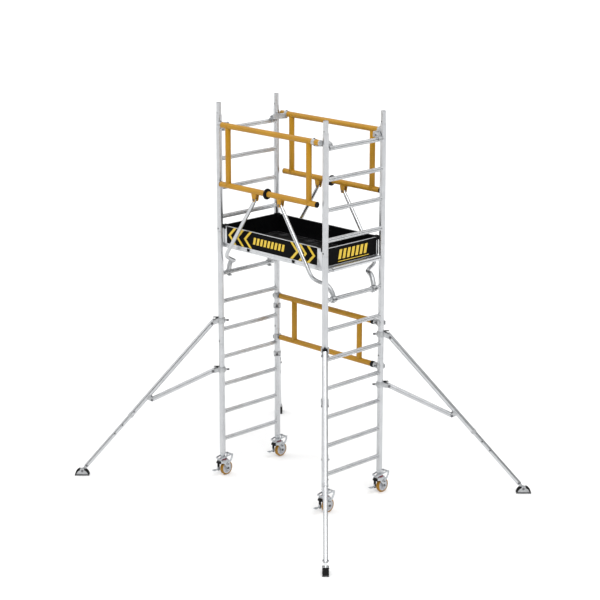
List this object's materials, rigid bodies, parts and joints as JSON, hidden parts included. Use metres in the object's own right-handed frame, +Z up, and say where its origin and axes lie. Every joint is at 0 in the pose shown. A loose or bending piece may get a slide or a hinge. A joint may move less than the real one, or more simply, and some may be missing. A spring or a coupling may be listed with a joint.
{
  "type": "mobile tower scaffold",
  "caption": "Mobile scaffold tower: ladder frames on braked castors, hatch platform with toe boards, guard rails and telescopic outriggers.",
  "frame": {"origin": "on the floor, at the centre of the tower's plan", "axes": "+Z up the tower, +X along the platform towards the right ladder side, +Y across it towards the back"},
  "size_m": [3.1426, 2.5566, 3.319],
  "materials": {
    "aluminium_tube": "brushed extruded aluminium",
    "galvanised_steel": "satin galvanised",
    "amber_paint": "satin amber powder coat",
    "amber_polyurethane": "satin cast polyurethane tread on a grey hub",
    "black_phenolic": "black anti-slip phenolic film on plywood",
    "black_panel": "black panel with yellow chevrons",
    "black_rubber": "matt black rubber"
  },
  "bodies": {
    "tower": {"ladder_frame_left_lower": "aluminium_tube", "ladder_frame_left_middle": "aluminium_tube", "ladder_frame_left_upper": "aluminium_tube", "ladder_frame_right_lower": "aluminium_tube", "ladder_frame_right_middle": "aluminium_tube", "ladder_frame_right_upper": "aluminium_tube", "castor_front_left_stem": "galvanised_steel", "castor_back_left_stem": "galvanised_steel", "castor_front_right_stem": "galvanised_steel", "castor_back_right_stem": "galvanised_steel", "platform_frame": "aluminium_tube", "platform_deck": "black_phenolic", "toe_board_front": "black_panel", "toe_board_back": "black_panel", "toe_board_left": "black_panel", "toe_board_right": "black_panel", "guard_rail_upper_front": "amber_paint", "strut_front_left": "aluminium_tube", "strut_front_right": "aluminium_tube", "guard_rail_upper_back": "amber_paint", "strut_back_left": "aluminium_tube", "strut_back_right": "aluminium_tube", "guard_rail_lower_back": "amber_paint"},
    "castor_front_left": {"castor_front_left_fork": "galvanised_steel"},
    "castor_front_left_wheel_body": {"castor_front_left_wheel": "amber_polyurethane"},
    "castor_front_left_lever_body": {"castor_front_left_brake_lever": "galvanised_steel"},
    "castor_back_left": {"castor_back_left_fork": "galvanised_steel"},
    "castor_back_left_wheel_body": {"castor_back_left_wheel": "amber_polyurethane"},
    "castor_back_left_lever_body": {"castor_back_left_brake_lever": "galvanised_steel"},
    "castor_front_right": {"castor_front_right_fork": "galvanised_steel"},
    "castor_front_right_wheel_body": {"castor_front_right_wheel": "amber_polyurethane"},
    "castor_front_right_lever_body": {"castor_front_right_brake_lever": "galvanised_steel"},
    "castor_back_right": {"castor_back_right_fork": "galvanised_steel"},
    "castor_back_right_wheel_body": {"castor_back_right_wheel": "amber_polyurethane"},
    "castor_back_right_lever_body": {"castor_back_right_brake_lever": "galvanised_steel"},
    "trapdoor": {"platform_trapdoor": "black_phenolic"},
    "outrigger_front_left": {"outrigger_front_left_upper_coupler": "galvanised_steel", "outrigger_front_left_lower_coupler": "galvanised_steel", "outrigger_front_left_main_tube": "aluminium_tube", "outrigger_front_left_brace": "aluminium_tube"},
    "outrigger_front_left_extension": {"outrigger_front_left_inner_tube": "aluminium_tube"},
    "outrigger_front_left_shoe": {"outrigger_front_left_foot": "black_rubber"},
    "outrigger_back_left": {"outrigger_back_left_upper_coupler": "galvanised_steel", "outrigger_back_left_lower_coupler": "galvanised_steel", "outrigger_back_left_main_tube": "aluminium_tube", "outrigger_back_left_brace": "aluminium_tube"},
    "outrigger_back_left_extension": {"outrigger_back_left_inner_tube": "aluminium_tube"},
    "outrigger_back_left_shoe": {"outrigger_back_left_foot": "black_rubber"},
    "outrigger_front_right": {"outrigger_front_right_upper_coupler": "galvanised_steel", "outrigger_front_right_lower_coupler": "galvanised_steel", "outrigger_front_right_main_tube": "aluminium_tube", "outrigger_front_right_brace": "aluminium_tube"},
    "outrigger_front_right_extension": {"outrigger_front_right_inner_tube": "aluminium_tube"},
    "outrigger_front_right_shoe": {"outrigger_front_right_foot": "black_rubber"},
    "outrigger_back_right": {"outrigger_back_right_upper_coupler": "galvanised_steel", "outrigger_back_right_lower_coupler": "galvanised_steel", "outrigger_back_right_main_tube": "aluminium_tube", "outrigger_back_right_brace": "aluminium_tube"},
    "outrigger_back_right_extension": {"outrigger_back_right_inner_tube": "aluminium_tube"},
    "outrigger_back_right_shoe": {"outrigger_back_right_foot": "black_rubber"}
  },
  "joints": [
    {"name": "castor_front_left_swivel", "type": "hinge", "parent": "tower", "child": "castor_front_left", "pos_m": [-0.628, -0.335, 0.15], "axis": [0, 0, 1], "continuous": true},
    {"name": "castor_front_left_roll", "type": "hinge", "parent": "castor_front_left", "child": "castor_front_left_wheel_body", "pos_m": [-0.628, -0.297, 0.0625], "axis": [1, 0, 0], "continuous": true},
    {"name": "castor_front_left_brake", "type": "hinge", "parent": "castor_front_left", "child": "castor_front_left_lever_body", "pos_m": [-0.628, -0.305, 0.104], "axis": [1, 0, 0], "range_deg": [0, 8]},
    {"name": "castor_back_left_swivel", "type": "hinge", "parent": "tower", "child": "castor_back_left", "pos_m": [-0.628, 0.335, 0.15], "axis": [0, 0, 1], "continuous": true},
    {"name": "castor_back_left_roll", "type": "hinge", "parent": "castor_back_left", "child": "castor_back_left_wheel_body", "pos_m": [-0.628, 0.373, 0.0625], "axis": [1, 0, 0], "continuous": true},
    {"name": "castor_back_left_brake", "type": "hinge", "parent": "castor_back_left", "child": "castor_back_left_lever_body", "pos_m": [-0.628, 0.365, 0.104], "axis": [1, 0, 0], "range_deg": [0, 8]},
    {"name": "castor_front_right_swivel", "type": "hinge", "parent": "tower", "child": "castor_front_right", "pos_m": [0.628, -0.335, 0.15], "axis": [0, 0, 1], "continuous": true},
    {"name": "castor_front_right_roll", "type": "hinge", "parent": "castor_front_right", "child": "castor_front_right_wheel_body", "pos_m": [0.628, -0.297, 0.0625], "axis": [1, 0, 0], "continuous": true},
    {"name": "castor_front_right_brake", "type": "hinge", "parent": "castor_front_right", "child": "castor_front_right_lever_body", "pos_m": [0.628, -0.305, 0.104], "axis": [1, 0, 0], "range_deg": [0, 8]},
    {"name": "castor_back_right_swivel", "type": "hinge", "parent": "tower", "child": "castor_back_right", "pos_m": [0.628, 0.335, 0.15], "axis": [0, 0, 1], "continuous": true},
    {"name": "castor_back_right_roll", "type": "hinge", "parent": "castor_back_right", "child": "castor_back_right_wheel_body", "pos_m": [0.628, 0.373, 0.0625], "axis": [1, 0, 0], "continuous": true},
    {"name": "castor_back_right_brake", "type": "hinge", "parent": "castor_back_right", "child": "castor_back_right_lever_body", "pos_m": [0.628, 0.365, 0.104], "axis": [1, 0, 0], "range_deg": [0, 8]},
    {"name": "trapdoor_hinge", "type": "hinge", "parent": "tower", "child": "trapdoor", "pos_m": [-0.27, 0.228, 2.12], "axis": [-1, 0, 0], "range_deg": [0, 90]},
    {"name": "outrigger_front_left_swing", "type": "hinge", "parent": "tower", "child": "outrigger_front_left", "pos_m": [-0.628, -0.335, 1.2], "axis": [0, 0, 1], "range_deg": [-45, 45]},
    {"name": "outrigger_front_left_telescope", "type": "slide", "parent": "outrigger_front_left", "child": "outrigger_front_left_extension", "axis": [-0.4603, -0.4603, -0.7591], "range_m": [-0.45, 0.1]},
    {"name": "outrigger_front_left_foot_pivot", "type": "hinge", "parent": "outrigger_front_left_extension", "child": "outrigger_front_left_shoe", "pos_m": [-1.50623, -1.21323, 0.0425], "axis": [0.7071, -0.7071, 0], "range_deg": [-30, 30]},
    {"name": "outrigger_back_left_swing", "type": "hinge", "parent": "tower", "child": "outrigger_back_left", "pos_m": [-0.628, 0.335, 1.2], "axis": [0, 0, 1], "range_deg": [-45, 45]},
    {"name": "outrigger_back_left_telescope", "type": "slide", "parent": "outrigger_back_left", "child": "outrigger_back_left_extension", "axis": [-0.4603, 0.4603, -0.7591], "range_m": [-0.45, 0.1]},
    {"name": "outrigger_back_left_foot_pivot", "type": "hinge", "parent": "outrigger_back_left_extension", "child": "outrigger_back_left_shoe", "pos_m": [-1.50623, 1.21323, 0.0425], "axis": [-0.7071, -0.7071, 0], "range_deg": [-30, 30]},
    {"name": "outrigger_front_right_swing", "type": "hinge", "parent": "tower", "child": "outrigger_front_right", "pos_m": [0.628, -0.335, 1.2], "axis": [0, 0, 1], "range_deg": [-45, 45]},
    {"name": "outrigger_front_right_telescope", "type": "slide", "parent": "outrigger_front_right", "child": "outrigger_front_right_extension", "axis": [0.4603, -0.4603, -0.7591], "range_m": [-0.45, 0.1]},
    {"name": "outrigger_front_right_foot_pivot", "type": "hinge", "parent": "outrigger_front_right_extension", "child": "outrigger_front_right_shoe", "pos_m": [1.50623, -1.21323, 0.0425], "axis": [0.7071, 0.7071, 0], "range_deg": [-30, 30]},
    {"name": "outrigger_back_right_swing", "type": "hinge", "parent": "tower", "child": "outrigger_back_right", "pos_m": [0.628, 0.335, 1.2], "axis": [0, 0, 1], "range_deg": [-45, 45]},
    {"name": "outrigger_back_right_telescope", "type": "slide", "parent": "outrigger_back_right", "child": "outrigger_back_right_extension", "axis": [0.4603, 0.4603, -0.7591], "range_m": [-0.45, 0.1]},
    {"name": "outrigger_back_right_foot_pivot", "type": "hinge", "parent": "outrigger_back_right_extension", "child": "outrigger_back_right_shoe", "pos_m": [1.50623, 1.21323, 0.0425], "axis": [-0.7071, 0.7071, 0], "range_deg": [-30, 30]}
  ]
}
